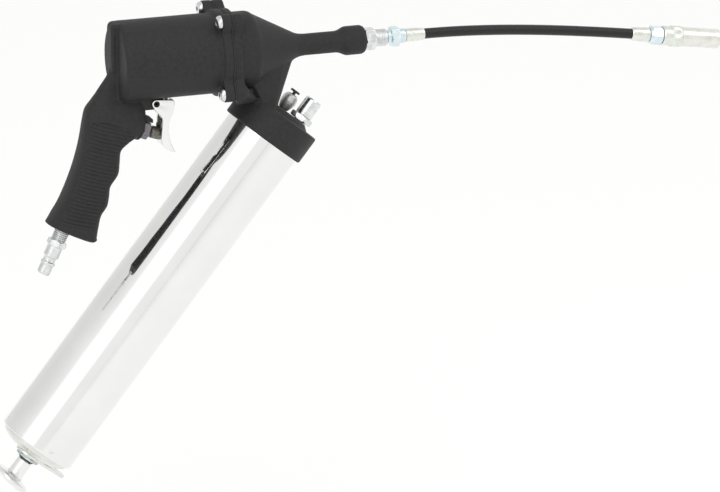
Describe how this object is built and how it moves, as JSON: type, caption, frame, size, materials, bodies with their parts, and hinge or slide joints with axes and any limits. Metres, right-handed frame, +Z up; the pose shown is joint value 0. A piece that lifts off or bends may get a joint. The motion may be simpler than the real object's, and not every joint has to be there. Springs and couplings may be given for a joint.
{
  "type": "grease gun",
  "caption": "Air-operated pistol-grip grease gun with a chromed cartridge barrel slung below and a short flexible hose that ends in a nipple coupler.",
  "frame": {"origin": "on the flat rear face of the housing's spine, where the air motor's axis meets it", "axes": "+X along the motor towards the outlet and hose, +Z up, away from the grip and the barrel, +Y to the side that carries the bleeder"},
  "size_m": [0.5471, 0.0648, 0.3355],
  "materials": {
    "powder_coat": "fine textured powder coat, satin",
    "gasket": "matt",
    "zinc_plate": "bright zinc plate",
    "steel": "machined, plated",
    "rubber": "matt",
    "hose_rubber": "finely ribbed, satin",
    "dark_steel": "phosphated",
    "bronze": "dull",
    "chrome": "mirror polished",
    "cap_plastic": "moulded"
  },
  "bodies": {
    "gun": {"motor_housing": "powder_coat", "head_casting": "powder_coat", "flange_gasket": "gasket", "flange_screw_1": "zinc_plate", "flange_screw_2": "zinc_plate", "flange_screw_3": "zinc_plate", "flange_screw_4": "zinc_plate", "air_plug": "zinc_plate", "valve_nut": "dark_steel", "valve_seal": "rubber", "valve_spring": "steel", "trigger_pin": "steel", "plunger_packing": "rubber", "piston_spring": "steel", "check_spring": "steel", "barrel_seal": "rubber", "bleeder_body": "steel", "loader_fitting": "zinc_plate", "outlet_adapter": "zinc_plate", "hose_nut_in": "zinc_plate", "hose_ferrule_in": "steel", "hose": "hose_rubber", "hose_ferrule_out": "steel", "hose_nut_out": "zinc_plate", "coupler_body": "steel", "coupler_sleeve": "zinc_plate", "coupler_seal": "rubber", "coupler_spring": "steel"},
    "trigger": {"trigger": "chrome"},
    "valve_plunger": {"valve_plunger": "bronze"},
    "piston": {"air_piston": "steel", "piston_seal": "rubber", "pump_plunger": "steel"},
    "check_ball": {"check_ball": "steel"},
    "bleeder_button": {"bleeder_button": "cap_plastic"},
    "barrel": {"barrel_tube": "chrome", "barrel_end_cap": "chrome", "rod_gland_nut": "zinc_plate", "rod_o_ring": "rubber", "follower_spring": "steel"},
    "rod_lock_plate": {"rod_lock_plate": "zinc_plate"},
    "follower": {"follower_rod": "steel", "follower_cup": "rubber", "follower_disc": "steel", "follower_nut": "steel", "pull_knob": "chrome"},
    "coupler_jaws": {"coupler_jaw_1": "steel", "coupler_jaw_2": "steel", "coupler_jaw_3": "steel"}
  },
  "joints": [
    {"name": "trigger_pull", "type": "hinge", "parent": "gun", "child": "trigger", "pos_m": [0.0314, 0, -0.0309], "axis": [0, 1, 0], "range_deg": [0, 8], "stiffness_Nm_per_rad": 0.6, "springref_deg": -11.46},
    {"name": "valve_stroke", "type": "slide", "parent": "gun", "child": "valve_plunger", "axis": [-0.9397, 0, 0.342], "range_m": [0, 0.0034], "deforming": ["valve_spring"]},
    {"name": "piston_stroke", "type": "slide", "parent": "gun", "child": "piston", "axis": [1, 0, 0], "range_m": [0, 0.022], "stiffness_N_per_m": 300, "springref_m": -0.012, "deforming": ["piston_spring"]},
    {"name": "check_ball_lift", "type": "slide", "parent": "gun", "child": "check_ball", "axis": [1, 0, 0], "range_m": [0, 0.002], "stiffness_N_per_m": 60, "springref_m": -0.002, "deforming": ["check_spring"]},
    {"name": "bleeder_press", "type": "slide", "parent": "gun", "child": "bleeder_button", "axis": [-0.6286, 0, -0.7777], "range_m": [0, 0.0012], "stiffness_N_per_m": 300, "springref_m": -0.002},
    {"name": "barrel_unscrew", "type": "slide", "parent": "gun", "child": "barrel", "axis": [-0.6286, 0, -0.7777], "range_m": [0, 0.03]},
    {"name": "rod_lock_slide", "type": "slide", "parent": "barrel", "child": "rod_lock_plate", "axis": [0.7777, 0, -0.6286], "range_m": [0, 0.003]},
    {"name": "follower_draw", "type": "slide", "parent": "barrel", "child": "follower", "axis": [-0.6286, 0, -0.7777], "range_m": [0, 0.2], "stiffness_N_per_m": 60, "springref_m": -0.12, "deforming": ["follower_spring"]},
    {"name": "jaw_slide", "type": "slide", "parent": "gun", "child": "coupler_jaws", "axis": [-0.9901, 0, 0.1406], "range_m": [0, 0.0012], "stiffness_N_per_m": 300, "springref_m": -0.002, "deforming": ["coupler_spring"]}
  ],
  "couplings": [
    {"joint": "valve_stroke", "follows": "trigger_pull", "m_per_rad": 0.0237}
  ]
}
